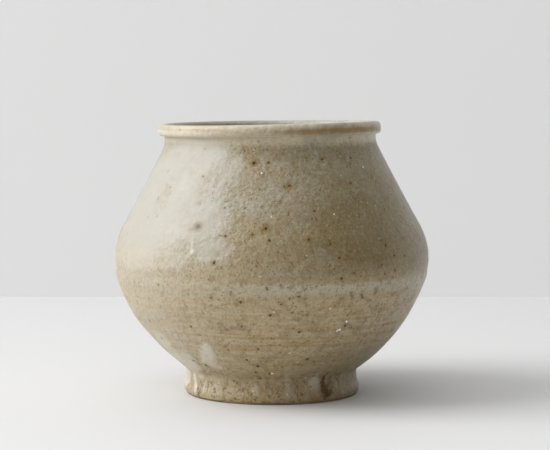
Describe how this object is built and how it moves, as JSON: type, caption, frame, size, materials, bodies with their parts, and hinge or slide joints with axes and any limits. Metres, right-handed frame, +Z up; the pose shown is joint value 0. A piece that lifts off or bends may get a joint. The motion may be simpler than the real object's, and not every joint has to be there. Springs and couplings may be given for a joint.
{
  "type": "moon jar",
  "caption": "Wide-mouthed stoneware moon jar with a rolled lip, a round belly luted from bowls at the waist, and a tall foot ring, under a speckled beige glaze.",
  "frame": {"origin": "centre of the jar's axis on the ground under the foot ring", "axes": "+Z up along the jar's axis, +X to the right in the picture, -Y towards the viewer"},
  "size_m": [0.1802, 0.1802, 0.156],
  "materials": {
    "stoneware": "matte",
    "luting_slip": "matte",
    "glaze": "satin"
  },
  "bodies": {
    "root": {"foot_ring": "stoneware", "foot_slip": "luting_slip", "lower_bowl": "stoneware", "waist_slip": "luting_slip", "seam_coil": "stoneware", "upper_bowl": "stoneware", "rim_slip": "luting_slip", "rim_collar": "stoneware", "outer_glaze": "glaze", "inner_glaze": "glaze"}
  },
  "joints": []
}
